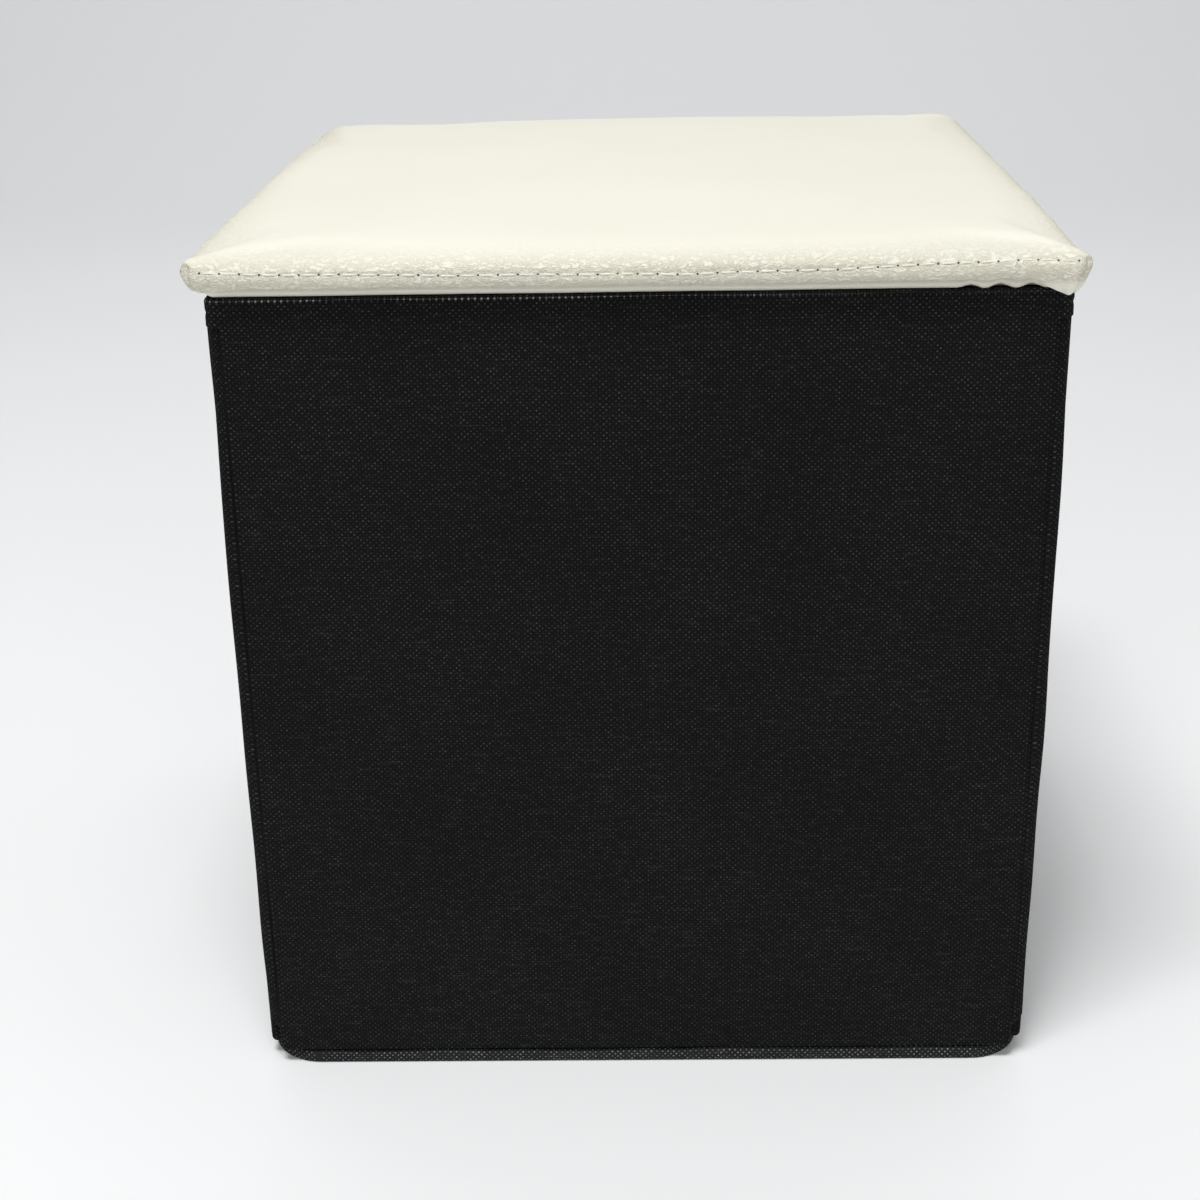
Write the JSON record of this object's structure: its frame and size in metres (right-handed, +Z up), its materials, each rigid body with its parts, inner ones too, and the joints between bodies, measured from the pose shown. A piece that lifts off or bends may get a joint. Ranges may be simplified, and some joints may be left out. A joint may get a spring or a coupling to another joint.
{
  "type": "storage ottoman",
  "caption": "Cube storage ottoman: a black fabric box with boarded walls that fold flat, a base board that flips up, and a lift-off lid padded in cream leathercloth.",
  "frame": {"origin": "centre of the base on the floor, with the lid on", "axes": "+Z up, the front wall faces -Y, +X to the right seen from the front"},
  "size_m": [0.309, 0.313, 0.3313],
  "materials": {
    "outer_fabric": "matte",
    "lining_fabric": "matte",
    "binding_tape": "matte",
    "hardboard": "matte",
    "foam": "matte",
    "leathercloth": "satin"
  },
  "bodies": {
    "back": {"back_board": "hardboard", "back_outer_cover": "outer_fabric", "back_lining": "lining_fabric", "back_top_binding": "binding_tape", "bottom_fabric": "outer_fabric", "bottom_binding": "binding_tape", "base_hinge_strip": "binding_tape"},
    "left_rear": {"left_rear_board": "hardboard", "left_rear_outer_cover": "outer_fabric", "left_rear_lining": "lining_fabric", "left_rear_top_binding": "binding_tape", "left_rear_corner": "outer_fabric", "left_crease_seam": "outer_fabric"},
    "left_front": {"left_front_board": "hardboard", "left_front_outer_cover": "outer_fabric", "left_front_lining": "lining_fabric", "left_front_top_binding": "binding_tape", "left_front_corner": "outer_fabric"},
    "front": {"front_board": "hardboard", "front_outer_cover": "outer_fabric", "front_lining": "lining_fabric", "front_top_binding": "binding_tape"},
    "right_rear": {"right_rear_board": "hardboard", "right_rear_outer_cover": "outer_fabric", "right_rear_lining": "lining_fabric", "right_rear_top_binding": "binding_tape", "right_rear_corner": "outer_fabric", "right_crease_seam": "outer_fabric"},
    "right_front": {"right_front_board": "hardboard", "right_front_outer_cover": "outer_fabric", "right_front_lining": "lining_fabric", "right_front_top_binding": "binding_tape", "right_front_corner": "outer_fabric"},
    "base": {"base_board": "hardboard", "base_board_sleeve": "lining_fabric", "base_pull_tab": "binding_tape"},
    "lid": {"lid_board": "hardboard", "lid_foam": "foam", "lid_cover": "leathercloth", "lid_underside": "lining_fabric"}
  },
  "joints": [
    {"name": "left_rear_fold", "type": "hinge", "parent": "back", "child": "left_rear", "pos_m": [-0.1455, 0.1395, 0.159], "axis": [0, 0, 1], "range_deg": [0, 90]},
    {"name": "left_crease", "type": "hinge", "parent": "left_rear", "child": "left_front", "pos_m": [-0.151, -0.002, 0.159], "axis": [0, 0, 1], "range_deg": [-180, 0]},
    {"name": "front_left_fold", "type": "hinge", "parent": "left_front", "child": "front", "pos_m": [-0.1455, -0.1435, 0.159], "axis": [0, 0, 1], "range_deg": [0, 90]},
    {"name": "right_rear_fold", "type": "hinge", "parent": "back", "child": "right_rear", "pos_m": [0.1455, 0.1395, 0.159], "axis": [0, 0, 1], "range_deg": [-90, 0]},
    {"name": "right_crease", "type": "hinge", "parent": "right_rear", "child": "right_front", "pos_m": [0.151, -0.002, 0.159], "axis": [0, 0, 1], "range_deg": [0, 180]},
    {"name": "base_flap", "type": "hinge", "parent": "back", "child": "base", "pos_m": [0, 0.145, 0.0052], "axis": [-1, 0, 0], "range_deg": [0, 90]},
    {"name": "lid_lift", "type": "slide", "parent": "back", "child": "lid", "axis": [0, 0, 1], "range_m": [0, 0.3]}
  ],
  "couplings": [
    {"joint": "left_crease", "follows": "left_rear_fold", "ratio": -2},
    {"joint": "front_left_fold", "follows": "left_rear_fold", "ratio": 1},
    {"joint": "right_rear_fold", "follows": "left_rear_fold", "ratio": -1},
    {"joint": "right_crease", "follows": "left_rear_fold", "ratio": 2}
  ]
}
